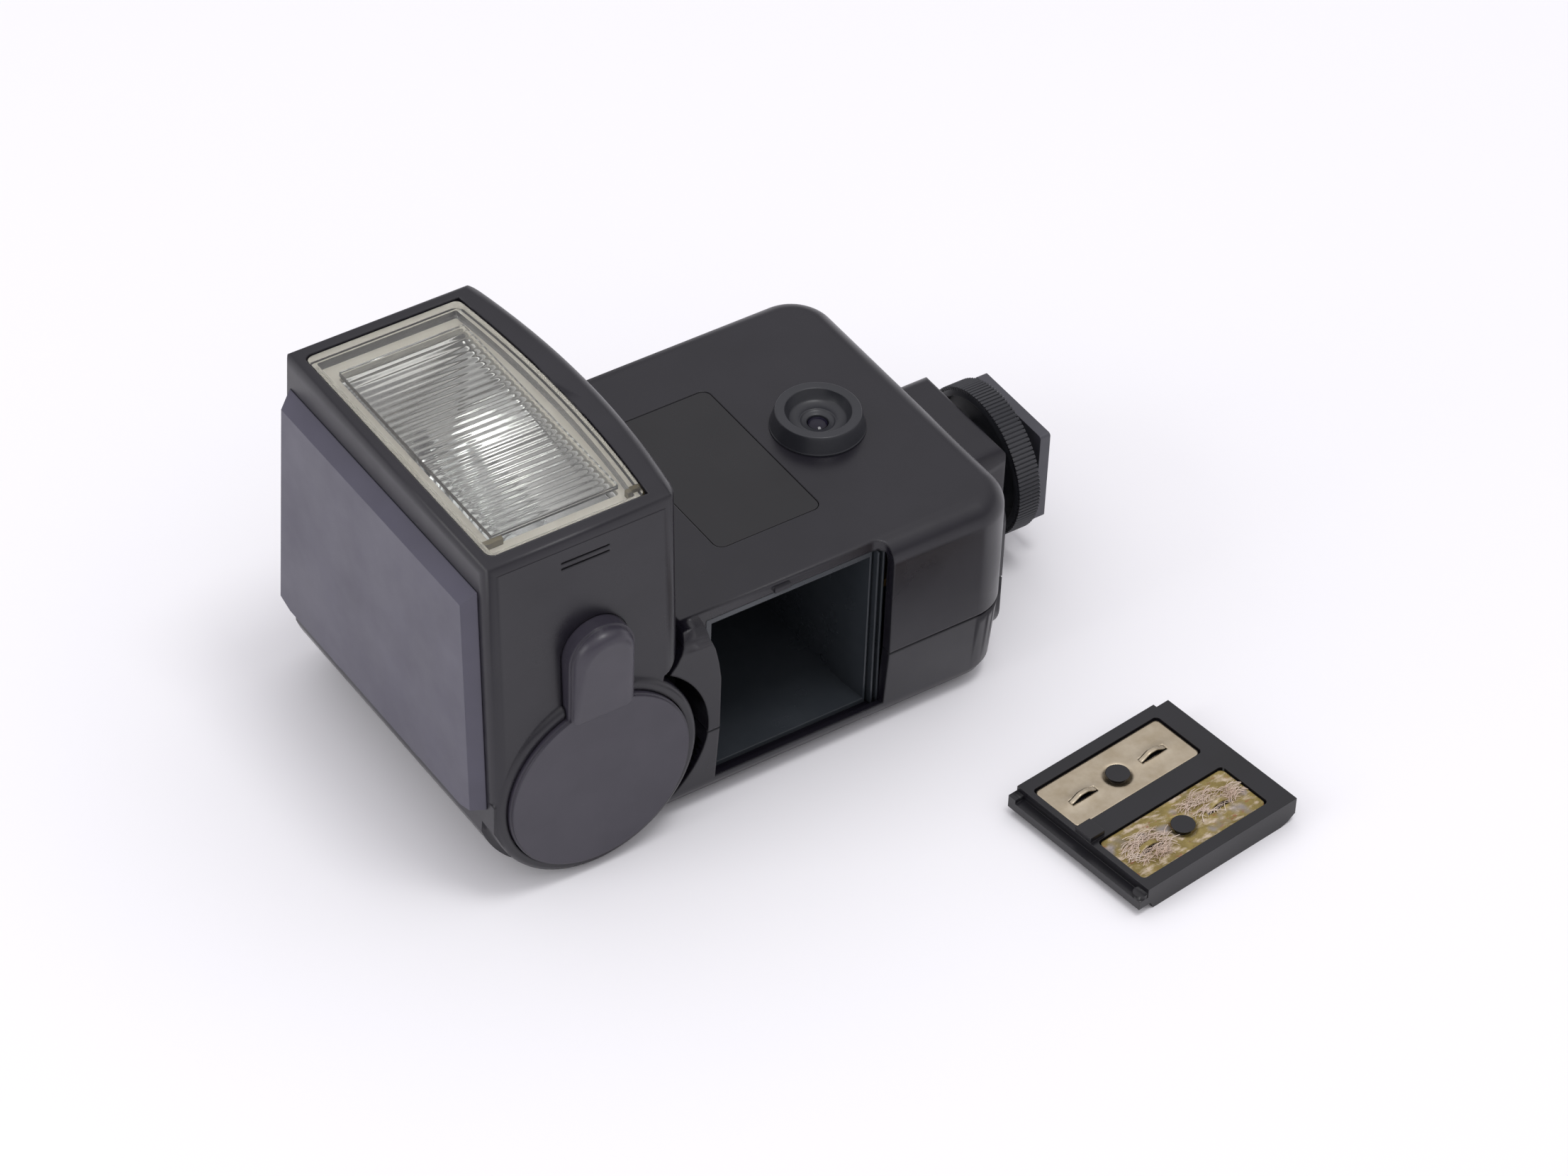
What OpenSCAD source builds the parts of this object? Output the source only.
// Shoe-mount electronic flash with a tilting head, lying on its back with the
// battery cover taken off and laid beside it, inside face up.
// The origin is on the table under the sensor eye: +X runs to the shoe foot,
// +Y runs away from the battery bay, +Z comes out of the front of the flash.

/* [Body] */
// Width of the body
body_w = 62.8; // [60:0.2:68]
// Height of the body's front face above the table
body_top = 38.8; // [38.4:0.2:44]
// Height of the parting line between the front and back shells
part_z = 16.6; // [14:0.2:19]
// How far the control panel stands proud of the back shell
panel_proud = 1.5; // [1.2:0.1:1.8]
// Distance from the sensor eye to the foot end of the body
foot_end = 18.8; // [18:0.2:26]
// Distance from the sensor eye to the front edge above the tilt axis
head_end = 45.6; // [44.8:0.1:45.8]
// Thickness of the moulded walls
wall = 2; // [1.6:0.1:2.2]
// Radius of the body's upright corners at the foot end
corner_r = 8; // [6.5:0.5:10]
// Radius of the body's front edges
edge_r = 4; // [2.5:0.5:5]
// How far the pad around the neck stands off the foot end
pad_t = 1; // [0.5:0.1:1.5]

/* [Battery bay] */
// Distance from the sensor eye to the bay's near edge
bay_start = 6.3; // [6:0.1:8]
// Length of the bay's mouth along the body
bay_len = 32.4; // [31.8:0.1:32.6]
// Height of the bay's sill above the table
bay_sill = 5; // [4.6:0.1:5.4]
// How far the mouth cuts into the front face
bay_lip = 3.4; // [2.6:0.1:3.8]
// Width of the grooved jamb that the cover's side runs in
jamb_w = 3; // [2:0.1:3.2]
// Length of one AA cell
cell_l = 50.5; // [49:0.1:50.5]

/* [Head] */
// Distance from the sensor eye to the tilt axis
eye_to_hinge = 62.3; // [62.1:0.1:66]
// Radius of the round cheeks about the tilt axis
cheek_r = 18.4; // [18:0.1:18.5]
// Gap between the cheeks and the table
cheek_lift = 0.4; // [0.3:0.1:1]
// Distance from the tilt axis to the outer face of the top panel
hinge_to_panel = 20.9; // [20.6:0.1:24]
// Distance from the tilt axis to the head's wall over the body
hinge_to_wall = 15.8; // [15:0.1:15.9]
// How far that wall bows out in the middle
head_bow = 3.6; // [1:0.1:4]
// Radius of that wall's upper edge
head_bow_r = 3; // [1:0.1:3.2]
// Height of the window rim above the table
head_front = 67.6; // [66:0.2:76]
// Width of the head at the tilt axis
head_w = 66; // [64.8:0.2:72]
// Width of the head at the window rim
head_w_front = 60.6; // [60:0.2:64]
// Radius of the edge around the window
head_rim_r = 1.6; // [1:0.1:2.4]
// Thickness of the cheeks
cheek_t = 4.4; // [4:0.1:5]
// Thickness of the top panel
top_panel_t = 2.4; // [1:0.1:2.8]
// How far the pivot caps stand proud of the cheeks
cap_proud = 1; // [0.6:0.1:1.6]
// How far the thumb pad stands proud of its cap
thumb_proud = 1.6; // [0.8:0.1:2.4]
// Diameter of the tilt axle
axle_d = 6; // [4:0.2:7]

/* [Window] */
// Size of the clear window across the head's short side
window_l = 29.6; // [28:0.1:29.8]
// Size of the clear window across the head's long side
window_w = 54.8; // [50:0.2:55]
// Width of the cream border on the long sides
border_l = 4.4; // [3:0.1:5]
// Width of the cream border on the short sides
border_w = 4.6; // [3:0.1:5]
// Spacing of the fine ribs in the window
rib_pitch = 1; // [0.8:0.1:2]
// Thickness that the ribbed field adds under the window
rib_field_t = 0.9; // [0.4:0.1:1.2]
// Diameter of the xenon tube
tube_d = 4.4; // [3.6:0.1:5]

/* [Sensor eye] */
// Diameter of the eye bezel on the front face
eye_d = 15.8; // [14:0.1:16.4]
// Diameter of the eye bezel at its rim
eye_rim_d = 14.1; // [12:0.1:14.6]
// Height of the eye bezel
eye_h = 3.2; // [2:0.1:4.5]

/* [Label plate] */
// Length of the bare label plate along the body
label_l = 19.5; // [16:0.1:21]
// Width of the bare label plate
label_w = 33.6; // [28:0.2:36]
// Distance from the sensor eye to the label plate
label_start = 10.5; // [9:0.1:11.5]

/* [Shoe foot] */
// Length of the neck from the end of the body
neck_l = 11; // [9:0.1:14]
// Width of the neck
neck_w = 24.6; // [20:0.2:25.2]
// Depth of the neck from back to front
neck_d = 23.8; // [20:0.2:24]
// Diameter of the knurled locking ring
ring_d = 26.2; // [24:0.2:28]
// Thickness of the locking ring
ring_t = 4.2; // [3:0.1:5]
// Gap between the neck and the locking ring
ring_gap = 2.3; // [1.5:0.1:3]
// Gap between the locking ring and the foot plate, for the camera's rails
rail_gap = 2.2; // [1.8:0.1:3]
// Size of the foot plate across the slide
foot_w = 18.6; // [18:0.1:18.6]
// Size of the foot plate along the slide
foot_d = 18; // [17:0.1:18]
// Thickness of the foot plate
foot_t = 2; // [1.8:0.1:2]
// Diameter of the stud that carries the ring
stud_d = 14; // [12:0.2:15]
// How far the centre contact stands out of the foot plate
pin_proud = 0.8; // [0.4:0.1:1.2]

/* [Back controls] */
// Diameter of the calculator dial
dial_d = 30; // [24:0.5:32]
// How deep the controls lie below the panel's face
control_sink = 0.3; // [0.2:0.1:0.5]
// Travel of the power switch
switch_travel = 3; // [2:0.1:4]
// Travel of the mode slider
mode_travel = 6; // [4:0.1:8]

/* [Battery cover] */
// Length of the cover, from its tongue to its thick end
cover_l = 34.4; // [32:0.1:35]
// Width of the cover
cover_w = 30.2; // [30:0.1:31]
// Thickness of the cover
cover_t = 4.7; // [4:0.1:5.2]
// Turn of the cover where it lies
cover_yaw = 7.4; // [0:0.2:12]
// Distance from the sensor eye to the middle of the cover, along the body
cover_x = 18.3; // [16:0.1:24]
// Distance from the sensor eye to the middle of the cover, across the body
cover_y = 70.4; // [66:0.1:90]
// Length of one contact plate
plate_l = 27.1; // [24:0.1:27.2]
// Width of one contact plate
plate_w = 10.4; // [9:0.1:10.6]
// Width of one sprung bridge in a contact plate
bridge_w = 1; // [0.8:0.1:1.6]
// Height of the bridges above the plates
bridge_h = 1.3; // [0.6:0.1:1.6]

/* [Inside] */
// Diameter of the main capacitor
capacitor_d = 18; // [14:0.2:18.2]
// Length of the main capacitor's can
capacitor_l = 33; // [28:0.5:34]
// Distance from the window's seat down to the axis of the xenon tube
tube_drop = 14.5; // [12:0.1:14.6]
// Thickness of the circuit board
board_t = 1.6; // [1:0.1:2]

/* [Fits] */
// Gap between pieces of one body that are seated on each other
seat = 0.05; // [0.03:0.01:0.1]
// Radial clearance of shafts in their bores
run_fit = 0.05; // [0.03:0.01:0.08]
// Gap between pieces that slide or turn past each other
slip = 0.3; // [0.25:0.01:0.4]
// Gap between panels that are let into each other
reveal = 0.15; // [0.1:0.01:0.2]

/* [Hidden] */
$fn = 64;
BLACK = "#2b2930";
DARK = "#1b1a1e";
STEEL = "#b9bcc0";
NICKEL = "#b5aa92";
CREAM = "#d8cfb8";
half_w = body_w / 2;
back_z = panel_proud;
floor_z = back_z + wall;
top_in = body_top - wall;
hinge_x = -eye_to_hinge;
hinge_z = cheek_r + cheek_lift;
cheek_y = head_w / 2;
cheek_in = cheek_y - cheek_t;
drum_r = cheek_r - 1.2;
drum_half = cheek_in - slip;
cover_ring_in = drum_r + slip + 0.1;
cover_ring_out = cover_ring_in + 1.8;
wall_x = hinge_x - hinge_to_panel + top_panel_t;
head_right = hinge_x + hinge_to_wall;
head_slope = (head_w - head_w_front) / 2 / (head_front - hinge_z);
axle_r = axle_d / 2;
cap_r = cheek_r - 2;
cap_floor = cheek_y - 2;
cap_half_tab = 5.9;
tab_top = 32;
bay_x1 = -bay_start;
bay_x0 = bay_x1 - bay_len;
bay_in_x1 = bay_x1 - jamb_w;
mouth_y = -half_w + bay_lip;
tub_wall = 1;
tub_x0 = bay_x0 + 0.2;
tub_x1 = bay_in_x1;
tub_z0 = bay_sill + 0.2;
tub_z1 = top_in - tub_wall - 0.2;
tub_y1 = mouth_y + cell_l + 4;
strap_x = tub_x0 - tub_wall - seat - 1.5;
cell_pitch = (tub_x1 - tub_x0) / 2;
tub_mid_x = (tub_x0 + tub_x1) / 2;
tub_mid_z = (tub_z0 + tub_z1) / 2;
foot_z = 16.8;
neck_x1 = foot_end + neck_l;
ring_x0 = neck_x1 + ring_gap;
foot_x0 = ring_x0 + ring_t + rail_gap;
foot_x1 = foot_x0 + foot_t;
stud_r = stud_d / 2;
window_x = (wall_x + head_right) / 2;
window_top = head_front - 0.2;
window_seat_z = head_front - 4.4;
glow_l = window_l - 2 * border_l + 1.6;
glow_w = window_w - 2 * border_w + 0.2;
tube_z = window_seat_z - tube_drop;
tube_half = glow_w / 2 - 0.9;
cradle_z = hinge_z + cover_ring_out + 0.1;
dial_x = -19;
board_z = 25.5;
board_top = board_z + board_t + seat;
capacitor_r = capacitor_d / 2;
capacitor_z = 15;
capacitor_y1 = 15;
room_x0 = tub_x1 + tub_wall + 1;
room_x1 = foot_end - wall;
room_mid = (room_x0 + room_x1) / 2;
button_x = 5;
button_y = half_w - 9.9;
button_r = 3;
switch_x = 5;
switch_y = 12.4 - half_w;
lamp_x = 9.5;
lamp_y = -9;
mode_x = 2.5;
panel_x0 = bay_x0;
panel_x1 = foot_end - 3.8;
panel_w = body_w - 8;
screw_x = foot_end - 5.2;
screw_y = half_w - 7.4;
screw_r = 1.3;
boss_r = 2.8;
plate_x = -0.6;
plate_y = 7.5;
plate_z = cover_t - 0.4;
stake_x = -1;
stake_y = -0.4;
stake_r = 2;

// ---- helpers -------------------------------------------------------------

// A rectangle with round corners, centred.
module rounded_rect(l, w, r) {
    square([l - 2 * r, w], center = true);
    square([l, w - 2 * r], center = true);
    for (sx = [-1, 1], sy = [-1, 1])
        translate([sx * (l / 2 - r), sy * (w / 2 - r)])
            circle(r);
}

// A flat outline in X and Z, carried along Y from y0 to y1.
module along_y(y0, y1) {
    translate([0, y1, 0])
        rotate([90, 0, 0])
            linear_extrude(y1 - y0)
                children();
}

// A flat outline in Y and Z, carried along X from x0 to x1.
module along_x(x0, x1) {
    translate([x0, 0, 0])
        rotate([90, 0, 90])
            linear_extrude(x1 - x0)
                children();
}

// A round bar along Y from y0 to y1, about the line x, z.
module bar_y(x, z, r, y0, y1) {
    translate([x, y1, z])
        rotate([90, 0, 0])
            cylinder(h = y1 - y0, r = r);
}

// A round bar along X from x0 to x1, about the line y, z.
module bar_x(y, z, r, x0, x1) {
    translate([x0, y, z])
        rotate([0, 90, 0])
            cylinder(h = x1 - x0, r = r);
}

// A coil spring standing on the origin: a six-sided wire on a helix.
function coil_ring(r, wire, pitch, a) = [for (k = [0:5])
    [(r + wire * cos(60 * k)) * cos(a), (r + wire * cos(60 * k)) * sin(a),
     wire + pitch * a / 360 + wire * sin(60 * k)]];
module coil(r, wire, height, turns) {
    steps = turns * 12;
    pitch = (height - 2 * wire) / turns;
    points = [for (i = [0:steps]) each coil_ring(r, wire, pitch, 30 * i)];
    sides = [for (i = [0:steps - 1], k = [0:5])
        [6 * i + k, 6 * i + 6 + k, 6 * i + 6 + (k + 1) % 6, 6 * i + (k + 1) % 6]];
    polyhedron(points, concat(sides, [[0, 1, 2, 3, 4, 5]],
        [[for (k = [5:-1:0]) 6 * steps + k]]));
}

// ---- the body's outer form --------------------------------------------------

// Outline of the body's wall: h is the distance out to the wall, t the inset.
module wall_outline(h, t) {
    polygon([[-0.01, back_z + t], [h - 3.2 - t, back_z + t], [h - 1.9 - t, back_z + 0.9 + t],
        [h - 1 - t, back_z + 2.6 + t], [h - t, part_z], [h - t, body_top - edge_r],
        [-0.01, body_top - edge_r]]);
    translate([-0.01, body_top - edge_r - 1])
        square([h - edge_r + 0.01, edge_r - t + 1]);
    translate([h - edge_r, body_top - edge_r])
        circle(edge_r - t);
}

// The whole rounded body, or its hollow when t is the wall's thickness.
module body_form(t) {
    corner_x = foot_end - corner_r;
    corner_y = half_w - corner_r;
    along_x(-head_end - 8, corner_x)
        union() {
            wall_outline(half_w, t);
            mirror([1, 0])
                wall_outline(half_w, t);
        }
    translate([corner_x - 1, 0, 0])
        along_y(-corner_y, corner_y)
            wall_outline(corner_r + 1, t);
    for (s = [-1, 1])
        translate([corner_x, s * corner_y, 0])
            rotate([0, 0, s > 0 ? 0 : -90])
                rotate_extrude(angle = 90)
                    intersection() {
                        wall_outline(corner_r, t);
                        square([corner_r + 1, 100]);
                    }
}

// Side outline of the body: the round bite leaves room for the cheeks.
module body_side() {
    difference() {
        polygon([[-head_end, body_top - 2.2], [-head_end + 0.7, body_top - 0.6],
            [-head_end + 2.2, body_top + 1], [foot_end + 1, body_top + 1],
            [foot_end + 1, 0], [-head_end - 4.2, 0], [-head_end - 4.2, hinge_z + 12.8],
            [-head_end - 2.5, hinge_z + 13.4], [-head_end - 1.4, hinge_z + 14.7],
            [-head_end - 0.5, hinge_z + 16.4], [-head_end, hinge_z + 17.6]]);
        translate([hinge_x + 4.1, hinge_z - 1])
            circle(cheek_r - 1);
    }
}

// Side outline of the hollow in the body.
module body_hollow_side() {
    polygon([[strap_x + 1.5, floor_z], [strap_x + 1.5, hinge_z + 14.4],
        [-head_end + wall, hinge_z + 14.4], [-head_end + wall, top_in],
        [foot_end, top_in], [foot_end, floor_z]]);
}

module body_walls() {
    difference() {
        union() {
            intersection() {
                body_form(0);
                along_y(-body_w, body_w)
                    body_side();
            }
            neck_pad();
        }
        intersection() {
            body_form(wall);
            along_y(-body_w, body_w)
                body_hollow_side();
        }
        // between the cheeks the end wall is flat, behind the bite
        translate([-head_end - 12, -cheek_in, -1])
            cube([strap_x + head_end + 12, 2 * cheek_in, hinge_z + 13]);
        bay_mouth();
        tub_room();
        neck_hole();
        web_hole();
    }
}

// The low pad on the foot end that the neck comes out of.
module neck_pad() {
    along_x(foot_end - 1, foot_end + pad_t)
        translate([0, (back_z + 2 + body_top - 5.2) / 2])
            rounded_rect(body_w - 11.6, body_top - back_z - 7.2, 6);
}

// Room for the battery tub and its jamb behind the mouth of the bay.
module tub_room() {
    room = tub_wall + seat;
    translate([tub_x0 - room, mouth_y - 1.3, tub_z0 - room])
        cube([tub_x1 + jamb_w - tub_x0 + tub_wall, tub_y1 + room - mouth_y + 1.3,
            tub_z1 - tub_z0 + 2 * room]);
}

// The mouth of the bay: its corner at the foot end is round in the front face,
// and its edge at the head end flares towards that face.
module bay_mouth() {
    r = 2.4;
    translate([bay_x0, -body_w, bay_sill])
        cube([bay_len, mouth_y + body_w, top_in - 0.6 - bay_sill]);
    translate([0, 0, top_in - 0.7])
        linear_extrude(8)
            difference() {
                translate([bay_x0, -body_w])
                    square([bay_len, mouth_y + body_w]);
                translate([bay_x1 - r, mouth_y - r])
                    difference() {
                        square(r + 1);
                        circle(r);
                    }
            }
    along_y(-body_w, mouth_y)
        polygon([[bay_x0 + 1, 27], [bay_x0, 27], [bay_x0 - 0.5, 30.5], [bay_x0 - 1.2, 33.6],
            [bay_x0 - 2.2, 36.2], [bay_x0 - 2.6, body_top + 1], [bay_x0 + 1, body_top + 1]]);
}

// Wall that closes the hollow behind the flared edge of the mouth.
module mouth_rib() {
    translate([-head_end + wall - 0.5, -half_w + wall - 0.1, hinge_z + 14])
        cube([bay_x0 - 0.9 + head_end - wall + 0.5, mouth_y + half_w - wall + 1.3,
            top_in - hinge_z - 13.9]);
}

module neck_hole() {
    along_x(foot_end - wall - 4, foot_end + pad_t + 1)
        translate([0, foot_z])
            rounded_rect(neck_w + 2 * reveal, neck_d + 2 * reveal, 3 + reveal);
}

module web_hole() {
    translate([strap_x - 0.5, -8, hinge_z - 5])
        cube([3, 16, 12]);
}

module front_half() {
    translate([-200, -200, part_z])
        cube([400, 400, 200]);
}

module screw_holes(r) {
    for (s = [-1, 1])
        translate([screw_x, s * screw_y, -1])
            cylinder(h = part_z + 11, r = r);
}

module front_shell() color(BLACK) {
    difference() {
        union() {
            intersection() {
                body_walls();
                front_half();
            }
            for (s = [-1, 1])
                translate([screw_x, s * screw_y, part_z + 1])
                    cylinder(h = top_in - part_z - 0.9, r = boss_r);
            mouth_rib();
        }
        bay_mouth();
        // seat for the bare label plate
        translate([-label_start - label_l / 2, 0, body_top - 0.5])
            linear_extrude(2)
                rounded_rect(label_l + 2 * reveal, label_w + 2 * reveal, 1.6);
        // bore behind the sensor eye
        translate([0, 0, top_in - 1])
            cylinder(h = 5, r = eye_rim_d / 2 - 2);
        screw_holes(screw_r - 0.2);
    }
    // catch for the cover under the lip of the bay
    translate([(bay_x0 + bay_x1) / 2 - 4.6, mouth_y - 0.6, top_in + 0.2])
        cube([3, 1, 0.9]);
}

// Fine groove round the parting line.
module seam_groove() {
    difference() {
        translate([-head_end - 9, -body_w, part_z - 0.4])
            cube([head_end + foot_end + 30, 2 * body_w, 1]);
        intersection() {
            body_form(0.3);
            translate([-head_end - 9, -body_w, part_z - 2])
                cube([head_end + foot_end + 30, 2 * body_w, 4]);
        }
        // the pad and the neck keep their seat
        translate([foot_end - 2, -neck_w / 2 - 1.5, part_z - 2])
            cube([12, neck_w + 3, 4]);
    }
}

module back_shell() color(BLACK) {
    difference() {
        union() {
            intersection() {
                body_walls();
                translate([-200, -200, 0])
                    cube([400, 400, part_z - 0.12]);
            }
            for (s = [-1, 1])
                translate([screw_x, s * screw_y, floor_z - 0.1])
                    cylinder(h = part_z + 0.9 - floor_z, r = boss_r);
        }
        seam_groove();
        screw_holes(screw_r + 0.15);
        for (s = [-1, 1])
            translate([screw_x, s * screw_y, -1])
                cylinder(h = floor_z, r = screw_r + 1.35);
        // seat for the dial, bores and slots for the controls
        translate([dial_x, 0, 0])
            cylinder(h = back_z + wall / 2, r = dial_d / 2 + slip);
        translate([dial_x, 0, 0])
            cylinder(h = floor_z + 1, r = 1.2 + run_fit);
        control_openings();
    }
}

// ---- the back controls --------------------------------------------------------

module control_openings() {
    translate([button_x, button_y, -1])
        cylinder(h = floor_z + 2, r = button_r + slip);
    translate([switch_x, switch_y, floor_z / 2])
        cube([4 + 2 * slip, 5 + switch_travel + 2 * slip, floor_z + 2], center = true);
    translate([mode_x, 0, floor_z / 2])
        cube([3 + 2 * slip, 4 + mode_travel + 2 * slip, floor_z + 2], center = true);
    translate([lamp_x, lamp_y, -1])
        cylinder(h = floor_z + 2, r = 1.5 + reveal);
}

module control_panel() color(DARK)
    difference() {
        translate([(panel_x0 + panel_x1) / 2, 0, 0])
            linear_extrude(back_z - seat)
                rounded_rect(panel_x1 - panel_x0, panel_w, 3);
        translate([dial_x, 0, -1])
            cylinder(h = back_z + 2, r = dial_d / 2 + slip);
        for (s = [-1, 1])
            translate([screw_x, s * screw_y, -1])
                cylinder(h = back_z + 2, r = screw_r + 1.35);
        control_openings();
    }

module calculator_dial() color(DARK)
    difference() {
        translate([dial_x, 0, control_sink])
            cylinder(h = back_z + wall / 2 - slip - control_sink, r = dial_d / 2);
        translate([dial_x, 0, -1])
            cylinder(h = floor_z + 1, r = 1.2 + run_fit);
        // finger notches round the rim
        for (a = [0:30:330])
            translate([dial_x + (dial_d / 2 + 0.4) * cos(a), (dial_d / 2 + 0.4) * sin(a), -1])
                cylinder(h = back_z + 0.3, r = 1.1, $fn = 24);
        // seat for the rivet's head
        translate([dial_x, 0, -1])
            cylinder(h = 1 + control_sink + 0.6 + slip, r = 2.4 + slip);
    }

module dial_rivet() color(STEEL) {
    translate([dial_x, 0, control_sink])
        cylinder(h = 0.6, r = 2.4);
    translate([dial_x, 0, control_sink])
        cylinder(h = floor_z + 0.3 - control_sink, r = 1.2);
    translate([dial_x, 0, floor_z + seat])
        cylinder(h = 0.5, r = 2);
}

module power_switch() color(DARK) {
    translate([switch_x - 2, switch_y - switch_travel / 2 - 2.5, control_sink])
        difference() {
            cube([4, 5, floor_z + slip - control_sink + 0.2]);
            for (k = [0:3])
                translate([-1, 0.7 + 1.1 * k, -0.1])
                    cube([6, 0.4, 0.4]);
        }
    translate([switch_x - 3.4, switch_y - switch_travel / 2 - 4, floor_z + slip])
        cube([6.8, 8, 0.8]);
}

module mode_slider() color(DARK) {
    translate([mode_x - 1.5, -mode_travel / 2 - 2, control_sink])
        difference() {
            cube([3, 4, floor_z + slip - control_sink + 0.2]);
            for (k = [0:2])
                translate([-1, 0.7 + 1.1 * k, -0.1])
                    cube([5, 0.4, 0.4]);
        }
    translate([mode_x - 2.8, -mode_travel / 2 - 3.4, floor_z + slip])
        cube([5.6, 6.8, 0.8]);
}

module test_button() color("#a8452f") {
    translate([button_x, button_y, control_sink])
        cylinder(h = floor_z + 1 - control_sink, r = button_r);
    translate([button_x, button_y, floor_z + slip])
        cylinder(h = 0.8, r = button_r + 1);
}

module test_spring() color(STEEL)
    translate([button_x, button_y, floor_z + 1.1 + slip])
        coil(button_r - 0.6, 0.2, board_z - floor_z - 1.2 - slip, 6);

module ready_lamp() color("#d9822b") {
    translate([lamp_x, lamp_y, control_sink])
        cylinder(h = floor_z + 1 - control_sink, r = 1.5);
    translate([lamp_x, lamp_y, floor_z + seat])
        cylinder(h = 1, r = 2.2);
}

// ---- inside the body ---------------------------------------------------------

module battery_tub() color(DARK) {
    difference() {
        translate([tub_x0 - tub_wall, mouth_y + seat, tub_z0 - tub_wall])
            cube([tub_x1 - tub_x0 + 2 * tub_wall, tub_y1 - mouth_y + tub_wall,
                tub_z1 - tub_z0 + 2 * tub_wall]);
        translate([tub_x0, mouth_y - 1, tub_z0])
            cube([tub_x1 - tub_x0, tub_y1 - mouth_y + 1, tub_z1 - tub_z0]);
        // thin lip towards the jamb
        translate([0, 0, tub_z0])
            linear_extrude(tub_z1 - tub_z0)
                polygon([[tub_x1 - 0.1, mouth_y - 1], [tub_x1 + tub_wall - 0.35, mouth_y - 1],
                    [tub_x1 + tub_wall - 0.35, mouth_y + 0.6], [tub_x1, mouth_y + 5],
                    [tub_x1 - 0.1, mouth_y + 5]]);
        // seats of the four contacts in the end wall
        for (sx = [-1, 1], sz = [-1, 1])
            translate([0, tub_y1 - 0.5, 0])
                bar_y(tub_mid_x + sx * cell_pitch / 2, tub_mid_z + sz * cell_pitch / 2,
                    1.2, 0, 2);
    }
    // deep jamb with two fine ridges that guide the cover
    translate([tub_x1 + tub_wall - 0.1, mouth_y + 2.8, tub_z0 - tub_wall])
        cube([jamb_w - tub_wall, 1.4, tub_z1 - tub_z0 + 2 * tub_wall]);
    for (x = [tub_wall + 0.5, jamb_w - 0.45])
        translate([tub_x1 + x, mouth_y + seat - 0.9, tub_z0 - tub_wall])
            cube([0.35, 4, tub_z1 - tub_z0 + 2 * tub_wall]);
}

module bay_springs() color(STEEL)
    for (s = [-1, 1])
        translate([tub_mid_x + s * cell_pitch / 2, tub_y1 - seat, tub_mid_z + s * cell_pitch / 2])
            rotate([90, 0, 0])
                coil(3.6, 0.4, 3.4, 3);

module bay_studs() color(NICKEL)
    for (s = [-1, 1])
        for (part = [[4, 0.5, 0], [1.1, 2.2, -1.6]])
            bar_y(tub_mid_x + s * cell_pitch / 2, tub_mid_z - s * cell_pitch / 2,
                part[0], tub_y1 - seat - part[1] - part[2] - 0.1,
                tub_y1 - seat - part[2]);

module main_capacitor() color("#2f3b57") {
    low = capacitor_y1 - capacitor_l;
    bar_y(room_mid, capacitor_z, capacitor_r, low, capacitor_y1);
    bar_y(room_mid, capacitor_z, capacitor_r - 1.4, low - 1, low + 0.1);
    for (s = [-1, 1]) {
        bar_y(room_mid + 3 * s, capacitor_z, 0.4, capacitor_y1 - 0.1, capacitor_y1 + 2);
        translate([room_mid + 3 * s, capacitor_y1 + 1.6, capacitor_z - 0.3])
            cylinder(h = board_top + 0.4 - capacitor_z, r = 0.4);
    }
}

module main_board() color("#7a6a3a")
    difference() {
        translate([room_x0 + 0.3, mouth_y + 2.2, board_z])
            cube([room_x1 - room_x0 - 4, half_w - wall - 2.4 - mouth_y - 2.2, board_t]);
        // notch round the jamb's foot
        translate([tub_x1 + jamb_w - 2, mouth_y + 1, board_z - 1])
            cube([2.2, 3.5, 4]);
        for (s = [-1, 1])
            translate([screw_x, s * screw_y, board_z - 1])
                cylinder(h = 4, r = boss_r + reveal);
        for (s = [-1, 1])
            translate([room_mid + 3 * s, capacitor_y1 + 1.6, board_z - 1])
                cylinder(h = 4, r = 0.4 + seat);
    }

module board_parts() color("#4a3d33") {
    for (part = [[-1, -19, 3.2, 5], [5, -15, 2.4, 6.5], [-2, -9, 2, 4], [6, 9, 2.2, 6]])
        translate([room_mid + part[0], part[1], board_top])
            cylinder(h = part[3], r = part[2], $fn = 32);
    translate([room_mid - 6, 6, board_top])
        cube([7, 5, 2.6]);
}

module transformer() color("#8c7a4a")
    translate([room_mid - 6, 18, board_top])
        difference() {
            cube([11, 8, 7.5]);
            translate([-1, 1.4, 2])
                cube([13, 1.6, 3.5]);
            translate([-1, 5, 2])
                cube([13, 1.6, 3.5]);
        }

module case_screws() color(STEEL)
    for (s = [-1, 1])
        translate([screw_x, s * screw_y, 0]) {
            translate([0, 0, control_sink])
                difference() {
                    cylinder(h = floor_z - 1 - seat - control_sink, r = screw_r + 1.1);
                    cube([0.7, 3, 1.4], center = true);
                    cube([3, 0.7, 1.4], center = true);
                }
            translate([0, 0, 1])
                cylinder(h = part_z + 7, r = screw_r - 0.2 - seat);
        }

// ---- the sensor eye and the label -----------------------------------------------

module eye_bezel() color(DARK) {
    rim_r = eye_rim_d / 2;
    translate([0, 0, body_top + seat])
        difference() {
            rotate_extrude()
                polygon([[0, 0], [eye_d / 2, 0], [eye_d / 2, 0.35],
                    [rim_r + 0.1, eye_h - 0.4], [rim_r, eye_h - 0.15], [rim_r - 0.2, eye_h],
                    [rim_r - 1.5, eye_h - 0.1], [rim_r - 1.75, eye_h - 0.35],
                    [rim_r - 2.3, 1.5], [rim_r - 2.7, 1.3], [3.1, 0.95], [3, 0.7], [0, 0.7]]);
            translate([0, 0, -1])
                cylinder(h = 4, r = 1.7);
        }
}

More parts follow.
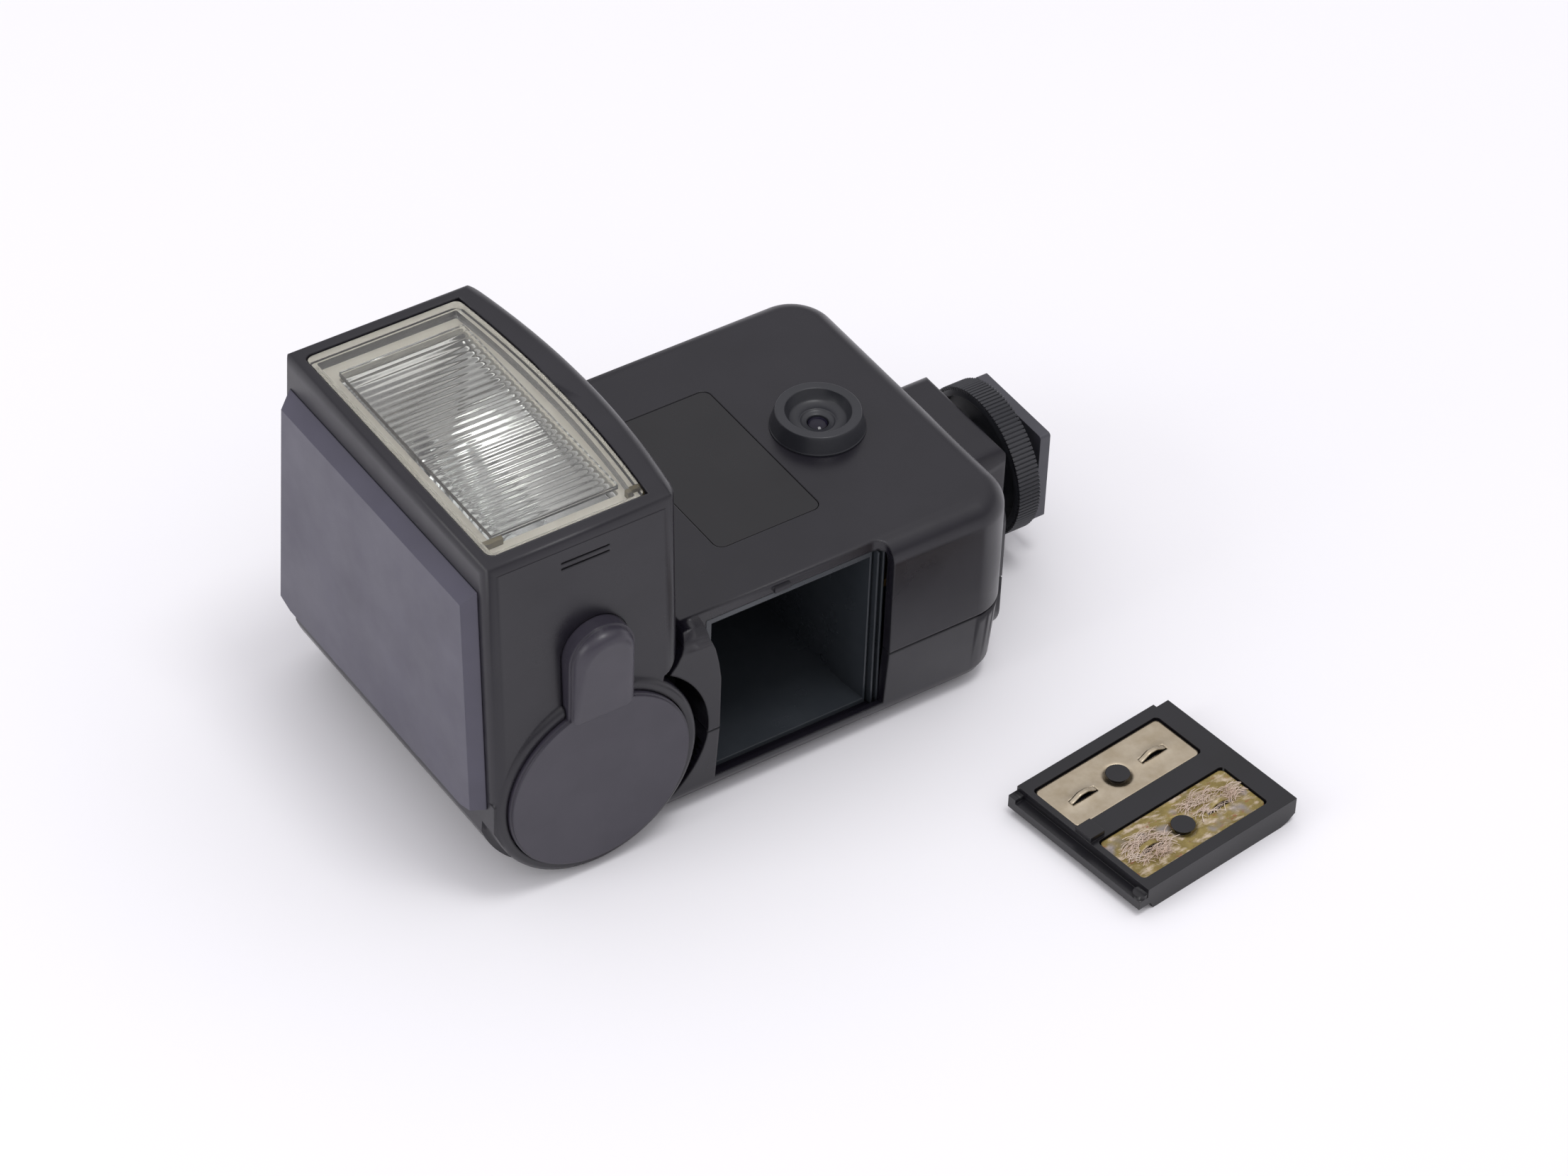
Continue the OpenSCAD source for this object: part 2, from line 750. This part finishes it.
module eye_lens() color("#241c38")
    translate([0, 0, body_top - 0.6])
        rotate_extrude()
            polygon([[0, 0], [1.6, 0], [1.6, 1.1], [1.2, 1.35], [0.6, 1.5], [0, 1.55]]);

module photo_sensor() color(STEEL) {
    translate([0, 0, body_top - 5.2])
        cylinder(h = 4.5, r = 2.6);
    for (s = [-1, 1])
        translate([1.3 * s, 0, board_top])
            cylinder(h = body_top - 5.1 - board_top, r = 0.25);
}

module label_plate() color("#232127")
    translate([-label_start - label_l / 2, 0, body_top - 0.5 + seat])
        linear_extrude(0.4)
            rounded_rect(label_l, label_w, 1.5);

// ---- the shoe foot ------------------------------------------------------------

module foot_neck() color(BLACK)
    difference() {
        union() {
            intersection() {
                along_x(foot_end - wall - 2.8, neck_x1)
                    translate([0, foot_z])
                        rounded_rect(neck_w, neck_d, 3);
                along_y(-neck_w, neck_w)
                    translate([neck_x1 - 15, foot_z])
                        rounded_rect(30, neck_d, 1.2);
                linear_extrude(50)
                    translate([neck_x1 - 15, 0])
                        rounded_rect(30, neck_w, 1.2);
            }
            // flange behind the end wall
            along_x(foot_end - wall - 2.8, foot_end - wall - 1.4)
                translate([0, foot_z + 1.4])
                    rounded_rect(neck_w + 3, neck_d - 2.8, 2);
        }
        along_x(foot_end - wall - 4, neck_x1 - wall)
            translate([0, foot_z])
                rounded_rect(neck_w - 2 * wall, neck_d - 2 * wall, 1);
        bar_x(0, foot_z, stud_r + seat, neck_x1 - wall - 1, neck_x1 + 1);
    }

module foot_stud() color(DARK)
    difference() {
        union() {
            bar_x(0, foot_z, stud_r, neck_x1 - wall - 1.2, foot_x0 - seat);
            bar_x(0, foot_z, stud_r + 1.4, neck_x1 - wall - 1.2, neck_x1 - wall - seat);
        }
        // thread for the ring, drawn as even grooves
        for (x = [neck_x1 + 0.6:0.9:foot_x0 - rail_gap - 0.6])
            translate([x, 0, foot_z])
                rotate([0, 90, 0])
                    rotate_extrude()
                        polygon([[stud_r - 0.4, 0.25], [stud_r + 1, 0.05],
                            [stud_r + 1, 0.65], [stud_r - 0.4, 0.45]]);
        bar_x(0, foot_z, 2.2, neck_x1 - wall - 2, foot_x0 + 1);
    }

module lock_ring() color(DARK)
    difference() {
        bar_x(0, foot_z, ring_d / 2, ring_x0, ring_x0 + ring_t);
        bar_x(0, foot_z, stud_r + run_fit, ring_x0 - 1, ring_x0 + ring_t + 1);
        bar_x(0, foot_z, ring_d / 2 - 1.8, ring_x0 - 1, ring_x0 + 1);
        // knurl
        for (a = [0:6:354])
            translate([0, (ring_d / 2 + 0.25) * cos(a), foot_z + (ring_d / 2 + 0.25) * sin(a)])
                rotate([0, 90, 0])
                    translate([0, 0, ring_x0 - 1])
                        cylinder(h = ring_t + 2, r = 0.6, $fn = 16);
    }

module shoe_foot() color(DARK)
    difference() {
        along_x(foot_x0, foot_x1)
            translate([0, foot_z])
                rounded_rect(foot_w, foot_d, 0.6);
        bar_x(0, foot_z, 1.5 + run_fit, foot_x0 - 1, foot_x1 + 1);
    }

module centre_contact() color(STEEL) {
    bar_x(0, foot_z, 1.5, foot_x0 - 1.2, foot_x1 + pin_proud - 0.5);
    bar_x(0, foot_z, 1.1, foot_x1 + pin_proud - 0.6, foot_x1 + pin_proud);
    bar_x(0, foot_z, 2, foot_x0 - 1.4, foot_x0 - slip);
}

module contact_spring() color(STEEL)
    translate([neck_x1 - wall + 1, 0, foot_z])
        rotate([0, 90, 0])
            coil(1.5, 0.2, foot_x0 - 1.6 - neck_x1 + wall - 1, 6);

// ---- the tilt joint ------------------------------------------------------------

module hinge_drum() color(DARK) {
    difference() {
        union() {
            bar_y(hinge_x, hinge_z, drum_r, -drum_half, drum_half);
            // web that joins the drum to the body's end wall
            translate([hinge_x + 12, -22, hinge_z - 7.5])
                cube([strap_x - seat - hinge_x - 12, 44, 18]);
            translate([strap_x - 1, -8 + reveal, hinge_z - 5 + reveal])
                cube([1.5 - seat + 1, 16 - 2 * reveal, 12 - 2 * reveal]);
        }
        bar_y(hinge_x, hinge_z, drum_r - wall, -drum_half + wall + 1, drum_half - wall - 1);
        bar_y(hinge_x, hinge_z, axle_r + run_fit, -drum_half - 1, drum_half + 1);
        // ring grooves that the detent balls run in
        for (s = [-1, 1])
            translate([hinge_x, s * drum_half, hinge_z])
                rotate([90, 0, 0])
                    rotate_extrude()
                        translate([drum_r - 5, 0])
                            circle(1.1, $fn = 32);
        // way for the wires
        translate([hinge_x + 11, -5, hinge_z - 3])
            cube([20, 10, 8]);
    }
}

module tilt_axle() color(STEEL)
    difference() {
        bar_y(hinge_x, hinge_z, axle_r, -cap_floor - 1.2, cap_floor + 1.2);
        for (s = [-1, 1])
            translate([hinge_x, s * (cap_floor + 0.7), hinge_z])
                rotate([90, 0, 0])
                    rotate_extrude()
                        translate([axle_r - 0.5, -0.3])
                            square([2, 0.6]);
    }

module axle_clips() color(STEEL)
    for (s = [-1, 1])
        translate([hinge_x, s * (cap_floor + 0.7), hinge_z])
            rotate([90, 0, 0])
                difference() {
                    translate([0, 0, -0.25])
                        cylinder(h = 0.5, r = axle_r + 1.6);
                    translate([0, 0, -1])
                        cylinder(h = 2, r = axle_r - 0.5 + seat);
                    translate([0, -axle_r - 1, -1])
                        linear_extrude(2)
                            square([axle_r, 2 * axle_r], center = true);
                }

module pivot_bushes() color("#b08d4c")
    for (s = [-1, 1])
        scale([1, s, 1])
            difference() {
                union() {
                    bar_y(hinge_x, hinge_z, axle_r + 1, cheek_in + slip, cap_floor);
                    bar_y(hinge_x, hinge_z, axle_r + 2.2, cap_floor + seat, cap_floor + 0.3);
                }
                bar_y(hinge_x, hinge_z, axle_r + run_fit, cheek_in - 1, cap_floor + 1);
            }

module detent_balls() color(STEEL)
    for (s = [-1, 1])
        translate([hinge_x, s * (cheek_in + 0.55), hinge_z + drum_r - 5])
            sphere(1, $fn = 32);

module detent_springs() color(STEEL)
    for (s = [-1, 1])
        translate([hinge_x, s * (cheek_in + 1.6), hinge_z + drum_r - 5])
            rotate([-90 * s, 0, 0])
                coil(0.65, 0.15, cap_floor + 1.5 - cheek_in - 1.6, 4);

// ---- the head ----------------------------------------------------------------

// The head's box, inside of its outer form by t: sides that draw in towards the
// window, round rim, and one wall that bows out over the body.
module head_box(t, low, high, round) {
    draft = atan(head_slope);
    y1 = cheek_y - (high - hinge_z) * head_slope - t;
    y0 = cheek_y + (hinge_z - low) * head_slope - t;
    r = max(round - t, 0.3);
    bow_r = max(head_bow_r - t, 0.3);
    arc_r = (cheek_y * cheek_y + head_bow * head_bow) / (2 * head_bow);
    difference() {
        intersection() {
            along_x(wall_x + t, head_right + head_bow - t)
                union() {
                    polygon([[-y0, low], [y0, low], [y1 + r * head_slope, high - r],
                        [-y1 - r * head_slope, high - r]]);
                    translate([-y1 + r, low])
                        square([2 * (y1 - r), high - low]);
                    for (s = [-1, 1])
                        translate([s * (y1 - r + 0.02), high - r])
                            circle(r);
                }
            along_y(-head_w, head_w)
                union() {
                    translate([wall_x + t, low])
                        square([head_right + head_bow - wall_x - 2 * t, high - low - r]);
                    translate([wall_x + t + r, low])
                        square([head_right - wall_x - 2 * t - 2 * r, high - low]);
                    translate([wall_x + t + r, high - r])
                        circle(r);
                    translate([head_right - t - r - 1, high - r])
                        square([head_bow + 1 + r, r]);
                }
            translate([head_right + head_bow - t - arc_r, 0, 0])
                rotate_extrude($fn = 360) {
                    translate([0, low - 1])
                        square([arc_r, high - bow_r - low + 1]);
                    translate([0, low])
                        square([arc_r - bow_r, high - low]);
                    translate([arc_r - bow_r, high - bow_r])
                        circle(bow_r, $fn = 48);
                }
        }
        // the round upright corners, larger towards the body
        if (t == 0)
            for (s = [-1, 1]) {
                translate([head_right + 0.6, 0, 0])
                    upright_corner(s, 1, 4, high, draft);
                translate([wall_x, 0, 0])
                    upright_corner(s, -1, 2.4, high, draft);
            }
    }
}

// What is cut away to round one upright edge of the head, tilted with its side.
module upright_corner(side, end, r, high, draft)
    scale([end, side, 1])
        translate([0, cheek_y + 0.02, hinge_z])
            rotate([draft, 0, 0])
                difference() {
                    translate([-r, -r, -10])
                        cube([r + 2, r + 2, high]);
                    translate([-r, -r, -11])
                        cylinder(h = high + 2, r = r);
                }

// Side outline of the head above the tilt axis.
module head_side() {
    polygon([[wall_x - 1, hinge_z], [wall_x - 1, head_front + 1],
        [head_right + head_bow + 2, head_front + 1],
        [head_right + head_bow + 2, body_top + 0.9], [head_right, body_top + 0.9],
        for (a = [0:12:72])
            [head_right - 5 * (1 - cos(a)), hinge_z + 19.4 - 5 * sin(a)],
        [head_right - 3.8, hinge_z + 12.6], [hinge_x, hinge_z]]);
}

// Side outline of the hollow in the head.
module head_hollow_side() {
    polygon([[wall_x, hinge_z + 4], [wall_x, window_seat_z - 1.4],
        [head_right + head_bow, window_seat_z - 1.4],
        [head_right + head_bow, body_top + 0.9 + wall],
        [head_right - wall, body_top + 0.9 + wall],
        [head_right - wall, hinge_z + 19], [hinge_x + 8, hinge_z + 16]]);
}

// One cheek, at +Y: round, with a broken edge, and filled out to the panel's wall.
module cheek() {
    translate([hinge_x, cheek_y, hinge_z])
        rotate([90, 0, 0])
            rotate_extrude()
                polygon([[0, 0], [cheek_r - 1, 0], [cheek_r - 0.3, 0.3], [cheek_r, 1],
                    [cheek_r, cheek_t], [0, cheek_t]]);
    along_y(cheek_in, cheek_y - 0.6)
        polygon([[hinge_x - 10, hinge_z + 2], [wall_x, hinge_z + 2],
            [wall_x, hinge_z - 3.5],
            [hinge_x - (cheek_r - 0.05) * cos(32), hinge_z - (cheek_r - 0.05) * sin(32)],
            [hinge_x - 10, hinge_z - 5]]);
}

// Keyhole outline of a pivot cap: a round cap and a thumb pad above it.
module cap_outline(grow) {
    translate([hinge_x, hinge_z]) {
        circle(cap_r + grow);
        translate([-cap_half_tab - grow, 0])
            square([2 * (cap_half_tab + grow), tab_top - cap_half_tab]);
        translate([0, tab_top - cap_half_tab])
            circle(cap_half_tab + grow);
    }
}

module window_outline(grow) {
    bow = head_bow / 2;
    difference() {
        translate([window_x, 0])
            rounded_rect(window_l + 2 * grow, window_w + 2 * grow, 1.4);
        // bowed side, cut as the outside of one long arc
        difference() {
            translate([window_x + window_l / 2 - bow - 1, -window_w])
                square([bow + 5, 2 * window_w]);
            translate([window_x + window_l / 2 + grow - window_arc_r(bow), 0])
                circle(window_arc_r(bow), $fn = 360);
        }
    }
}
function window_arc_r(bow) = (window_w * window_w / 4 + bow * bow) / (2 * bow);

module head_shell() color(BLACK)
    difference() {
        union() {
            difference() {
                intersection() {
                    head_box(0, hinge_z - 4, head_front, head_rim_r);
                    along_y(-head_w, head_w)
                        head_side();
                }
                // hollow behind the window, above the wall over the drum
                difference() {
                    intersection() {
                        head_box(wall, hinge_z - 4, head_front, head_rim_r);
                        along_y(-head_w, head_w)
                            head_hollow_side();
                    }
                    bar_y(hinge_x, hinge_z, cover_ring_out, -head_w, head_w);
                }
                // room for the drum between the cheeks
                bar_y(hinge_x, hinge_z, cover_ring_in, -cheek_in, cheek_in);
                translate([hinge_x, -cheek_in, hinge_z - 5])
                    cube([30, 2 * cheek_in, 5 + (cover_ring_in + 0.3) * sin(46)]);
            }
            for (s = [-1, 1])
                scale([1, s, 1])
                    cheek();
            // rim under the top panel that covers the drum
            intersection() {
                difference() {
                    bar_y(hinge_x, hinge_z, cover_ring_out, -cheek_in - 0.1, cheek_in + 0.1);
                    bar_y(hinge_x, hinge_z, cover_ring_in, -cheek_in - 1, cheek_in + 1);
                }
                along_y(-cheek_in - 0.5, cheek_in + 0.5)
                    polygon([[hinge_x, hinge_z + 0.6], [wall_x, hinge_z + 0.6],
                        [wall_x, hinge_z + 0.6 + 1.49 * (wall_x - hinge_x)]]);
            }
        }
        for (s = [-1, 1])
            scale([1, s, 1]) {
                along_y(cap_floor, cheek_y + 5)
                    cap_outline(0.2);
                bar_y(hinge_x, hinge_z, axle_r + 1 + seat, cheek_in - 1, cap_floor + 1);
                bar_y(hinge_x, hinge_z + drum_r - 5, 1.1, cheek_in - 1, cap_floor + 1);
                // two fine slots beside the window
                for (k = [0, 1])
                    translate([hinge_x - 5.5, cheek_y - (head_front - 4 - hinge_z) * head_slope
                        - 0.5, head_front - 4.2 - 1.1 * k])
                        cube([8.6, 3, 0.35]);
            }
        // window opening, seat and the way through to the reflector
        translate([0, 0, window_seat_z])
            linear_extrude(10)
                window_outline(reveal);
        translate([window_x - 0.3, 0, window_seat_z - 4])
            linear_extrude(5)
                rounded_rect(window_l - 5, window_w - 6, 1);
        // slots for the hooks of the top panel
        for (s = [-1, 1])
            translate([wall_x - 1, s * 12 - 1.6, hinge_z + 0.6])
                cube([3, 3.2, 1.4]);
    }

module top_panel() color(BLACK) {
    x1 = wall_x - seat;
    x0 = wall_x - top_panel_t;
    z0 = hinge_z - 0.8;
    z1 = head_front - 5.6;
    y0 = cheek_y - 2.7;
    y1 = y0 - (z1 - z0) * head_slope;
    hull() {
        along_x(x1 - 0.01, x1)
            polygon([[-y0, z0 + 1], [-y0 + 4, z0], [y0 - 4, z0], [y0, z0 + 1],
                [y1, z1], [-y1, z1]]);
        along_x(x0, x0 + 0.01)
            polygon([[-y0 + 1.2, z0 + 1], [-y0 + 4.2, z0], [y0 - 4.2, z0], [y0 - 1.2, z0 + 1],
                [y1 - 1.2, z1 - top_panel_t], [-y1 + 1.2, z1 - top_panel_t]]);
    }
    for (s = [-1, 1]) {
        translate([wall_x - seat - 0.1, s * 12 - 1.2, hinge_z + 0.9])
            cube([1, 2.4, 0.8]);
        translate([x0 + 0.3, s * 12 - 1.2, z0 - 0.7])
            cube([0.9, 2.4, 0.8]);
    }
}

module window_frame() color(CREAM)
    translate([0, 0, window_seat_z + seat])
        linear_extrude(0.9)
            difference() {
                window_outline(-0.2);
                translate([window_x - 0.2, 0])
                    rounded_rect(glow_l, glow_w, 0.6);
            }

module window_lens() color("#cfe0e6", 0.4) {
    translate([0, 0, window_seat_z + 1]) {
        linear_extrude(window_top - window_seat_z - 1 - 1.6)
            difference() {
                window_outline(0);
                window_outline(-1.4);
            }
        translate([0, 0, window_top - window_seat_z - 1 - 1.7])
            linear_extrude(1.7)
                window_outline(0);
    }
    // a thicker field under the clear plate, with fine ribs across the short side
    count = floor(glow_w / rib_pitch);
    translate([0, 0, window_top - 1.6])
        along_x(window_x - 0.2 - glow_l / 2, window_x - 0.2 + glow_l / 2)
            polygon(concat([[-count * rib_pitch / 2, 0.1]],
                [for (k = [0:count - 1]) each [
                    [(k - count / 2) * rib_pitch, -rib_field_t],
                    [(k - count / 2 + 0.5) * rib_pitch, -rib_field_t - 0.2]]],
                [[count * rib_pitch / 2, -rib_field_t], [count * rib_pitch / 2, 0.1]]));
}

// A tapering trough, wide at the window and narrow at the tube.
module trough(t) {
    hull() {
        translate([window_x - 0.2, 0, window_seat_z - 0.01])
            linear_extrude(0.01)
                square([glow_l + 1 + 2 * t, glow_w + 1 + 2 * t], center = true);
        translate([window_x - 0.2, 0, tube_z - 3.2 - t])
            linear_extrude(0.01)
                square([8 + 2 * t, 21 + 2 * t], center = true);
    }
}

module reflector() color("#d8dadd")
    difference() {
        trough(0.5);
        trough(0);
        translate([window_x - 20, -40, window_seat_z - 0.011])
            cube([40, 80, 1]);
        bar_y(window_x - 0.2, tube_z, tube_d / 2 + slip, -30, 30);
    }

module flash_tube() color("#e6eef2", 0.6)
    bar_y(window_x - 0.2, tube_z, tube_d / 2, -tube_half, tube_half);

module tube_electrodes() color(STEEL)
    for (s = [-1, 1])
        scale([1, s, 1]) {
            bar_y(window_x - 0.2, tube_z, tube_d / 2 - 0.7, tube_half + seat, tube_half + 2.4);
            bar_y(window_x - 0.2, tube_z, 0.5, tube_half + 2.3, tube_half + 4.4);
        }

module trigger_wire() color("#c8b070")
    translate([window_x - 0.2, -9, tube_z])
        rotate([-90, 0, 0])
            coil(tube_d / 2 + 0.26, 0.18, 18, 6);

module reflector_cradle() color(CREAM)
    difference() {
        union() {
            translate([window_x - 9, -tube_half - 3, cradle_z])
                cube([18, 2 * tube_half + 6, 1.8]);
            translate([window_x - 4, -8, cradle_z + 1.7])
                cube([7.6, 16, tube_z - 3.2 - 0.5 - seat - cradle_z - 1.7]);
            for (s = [-1, 1])
                translate([window_x - 6, s * (tube_half - 0.5) - 2.5, cradle_z + 1.7])
                    cube([12, 5, tube_z + 3.4 - cradle_z - 1.7]);
        }
        bar_y(window_x - 0.2, tube_z, tube_d / 2 + seat, -tube_half - 9, tube_half + 9);
    }

module trigger_coil() color("#5a4632") {
    translate([0, 15, cradle_z + 1.8 + 3 + seat]) {
        bar_x(0, 0, 2.4, window_x - 5, window_x + 5);
        for (x = [-5, 4])
            bar_x(0, 0, 3, window_x + x, window_x + x + 1);
    }
}

// One pivot cap, at +Y: a hollow disc with a raised thumb pad.
module pivot_cap() {
    difference() {
        union() {
            along_y(cap_floor + seat, cheek_y + cap_proud - 0.4)
                cap_outline(0);
            along_y(cheek_y, cheek_y + cap_proud)
                cap_outline(-0.3);
            thumb_pad();
        }
        bar_y(hinge_x, hinge_z, cap_r - 2, cap_floor - 1, cheek_y - 0.4);
    }
}

// The pad rises like a wedge from the disc to its round top end.
module thumb_pad() {
    round = 1.8;
    half = cap_half_tab - 0.5;
    foot_at = cap_r - 2.2;
    foot_r = 1.4;
    top_at = tab_top - cap_half_tab;
    hull() {
        for (s = [-1, 1])
            bar_y(hinge_x + s * (half - foot_r), hinge_z + foot_at + foot_r, foot_r,
                cheek_y + 0.2, cheek_y + cap_proud + 0.25);
        translate([hinge_x, cheek_y + cap_proud + thumb_proud, hinge_z + top_at])
            rotate([90 - atan((thumb_proud - 0.25) / (top_at - foot_at)), 0, 0])
                for (a = [0:18:90])
                    translate([0, 0, round * (1 - sin(a))])
                        cylinder(h = cap_proud + thumb_proud - round, $fn = 32,
                            r = half - round * (1 - cos(a)));
    }
}

module pivot_cap_near() color(BLACK)
    scale([1, -1, 1])
        pivot_cap();

module pivot_cap_far() color(BLACK)
    pivot_cap();

// ---- the battery cover, lying inside face up -------------------------------------

module lay_cover()
    translate([cover_x, -cover_y, 0])
        rotate([0, 0, cover_yaw])
            children();

module plate_outline(grow)
    translate([plate_x, 0])
        rounded_rect(plate_l + 2 * grow, plate_w + 2 * grow, 0.8);

module battery_cover() color(DARK)
    lay_cover() {
        difference() {
            union() {
                // frame, with its tongue edge lower than the rest
                translate([0.9, 0, 1.4])
                    linear_extrude(cover_t - 1.4)
                        square([cover_l - 1.8, cover_w], center = true);
                translate([-cover_l / 2, -cover_w / 2, 1.4])
                    cube([4, cover_w, 1.6]);
                // outer skin, rounded where it meets the body's front edge
                intersection() {
                    translate([-cover_l / 2 + 2.6, -cover_w / 2, 0])
                        cube([cover_l - 2.6, cover_w, 1.5]);
                    translate([0, -cover_w, 0])
                        along_y(0, 2 * cover_w)
                            polygon([[-cover_l / 2 + 3.2, 0], [cover_l / 2 - 3, 0],
                                [cover_l / 2 - 1.4, 0.5], [cover_l / 2, 1.5],
                                [-cover_l / 2 + 2.6, 1.5]]);
                }
                // ear and nub at the ends of the tongue edge
                translate([-cover_l / 2, cover_w / 2 - 1.6, 1.4])
                    cube([2.4, 1.6, 2.4]);
                translate([-cover_l / 2 + 1.2, 1.2 - cover_w / 2, 1.4])
                    cylinder(h = 2.4, r = 1.2);
                // peg on the middle rib
                translate([-cover_l / 2 + 1.9, -1.75, 2])
                    cube([3, 3.5, cover_t + 1 - 2]);
            }
            for (s = [-1, 1])
                translate([0, s * plate_y, plate_z - 0.8])
                    linear_extrude(3)
                        plate_outline(reveal);
            // the notched corner
            translate([cover_l / 2 - 2.6, cover_w / 2 - 0.7, -1])
                cube([4, 2, cover_t + 2]);
        }
        for (s = [-1, 1])
            translate([stake_x, s * plate_y + stake_y, plate_z - 0.9]) {
                cylinder(h = 1.3, r = stake_r - 0.5 - seat);
                translate([0, 0, 0.9 - 0.4])
                    cylinder(h = 0.9, r1 = stake_r - 0.5 - seat, r2 = stake_r);
            }
    }

// One contact plate with two sprung bridges, seated in the cover's frame.
module contact_plate(side) {
    plate_t = 0.8 - seat;
    lay_cover()
        translate([0, side * plate_y, plate_z - 0.8 + seat]) {
            difference() {
                linear_extrude(plate_t)
                    plate_outline(0);
                // the plate is dished around the stake
                translate([stake_x, stake_y, 0])
                    rotate_extrude()
                        polygon([[0, -1], [stake_r - 0.5, -1], [stake_r - 0.5, 0.3],
                            [stake_r + 0.8, plate_t], [stake_r + 0.8, 2], [0, 2]]);
                for (s = [-1, 1])
                    translate([stake_x + 7.6 * s, stake_y, 0])
                        cube([6.2, bridge_w + 0.7, 4], center = true);
            }
            for (s = [-1, 1])
                translate([stake_x + 7.6 * s, stake_y, 0])
                    bridge(plate_t);
        }
}

// A narrow strip that bows up out of its slot in the plate.
module bridge(plate_t) {
    r = 5;
    translate([0, bridge_w / 2, plate_t + bridge_h - r])
        rotate([90, 0, 0])
            linear_extrude(bridge_w)
                difference() {
                    circle(r);
                    circle(r - 0.45);
                    translate([-r - 1, -2 * r - plate_t - bridge_h + r + 0.15])
                        square([2 * r + 2, 2 * r]);
                }
}

module cover_plate_far() color(NICKEL)
    contact_plate(1);

module cover_plate_near() color("#8f8258")
    contact_plate(-1);

front_shell();
back_shell();
hinge_drum();
tilt_axle();
axle_clips();
label_plate();
eye_bezel();
eye_lens();
photo_sensor();
battery_tub();
bay_springs();
bay_studs();
main_capacitor();
main_board();
board_parts();
transformer();
control_panel();
ready_lamp();
case_screws();
foot_neck();
foot_stud();
shoe_foot();
contact_spring();
detent_springs();
lock_ring();
centre_contact();
calculator_dial();
dial_rivet();
power_switch();
mode_slider();
test_button();
test_spring();
head_shell();
top_panel();
window_lens();
window_frame();
reflector();
flash_tube();
tube_electrodes();
trigger_wire();
reflector_cradle();
trigger_coil();
pivot_bushes();
pivot_cap_near();
pivot_cap_far();
detent_balls();
battery_cover();
cover_plate_far();
cover_plate_near();
